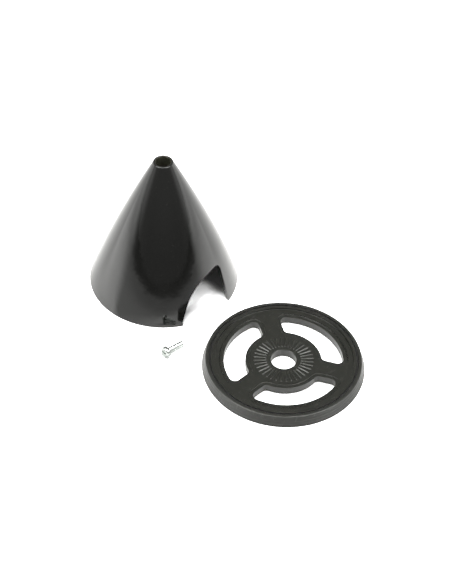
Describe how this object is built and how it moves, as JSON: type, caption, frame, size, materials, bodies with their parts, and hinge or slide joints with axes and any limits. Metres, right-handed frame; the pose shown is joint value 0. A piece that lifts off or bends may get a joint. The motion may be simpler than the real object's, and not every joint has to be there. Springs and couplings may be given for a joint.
{
  "type": "propeller spinner",
  "caption": "Moulded propeller spinner laid out in pieces: hollow nose cone with swept blade cut-outs, ridged backplate with kidney windows, and the nose screw that holds them.",
  "frame": {"origin": "centre of the backplate's shaft bore, on its rear face", "axes": "+Z along the shaft bore, from the rear face to the front; the cone stands behind the plate, towards -X and +Y"},
  "size_m": [0.1123, 0.1118, 0.0612],
  "materials": {
    "gloss_black": "polished moulded black plastic",
    "satin_black": "satin moulded black plastic",
    "zinc_plate": "zinc-plated steel"
  },
  "bodies": {
    "root": {"nose_cone": "gloss_black", "backplate": "satin_black", "nose_screw": "zinc_plate"}
  },
  "joints": []
}
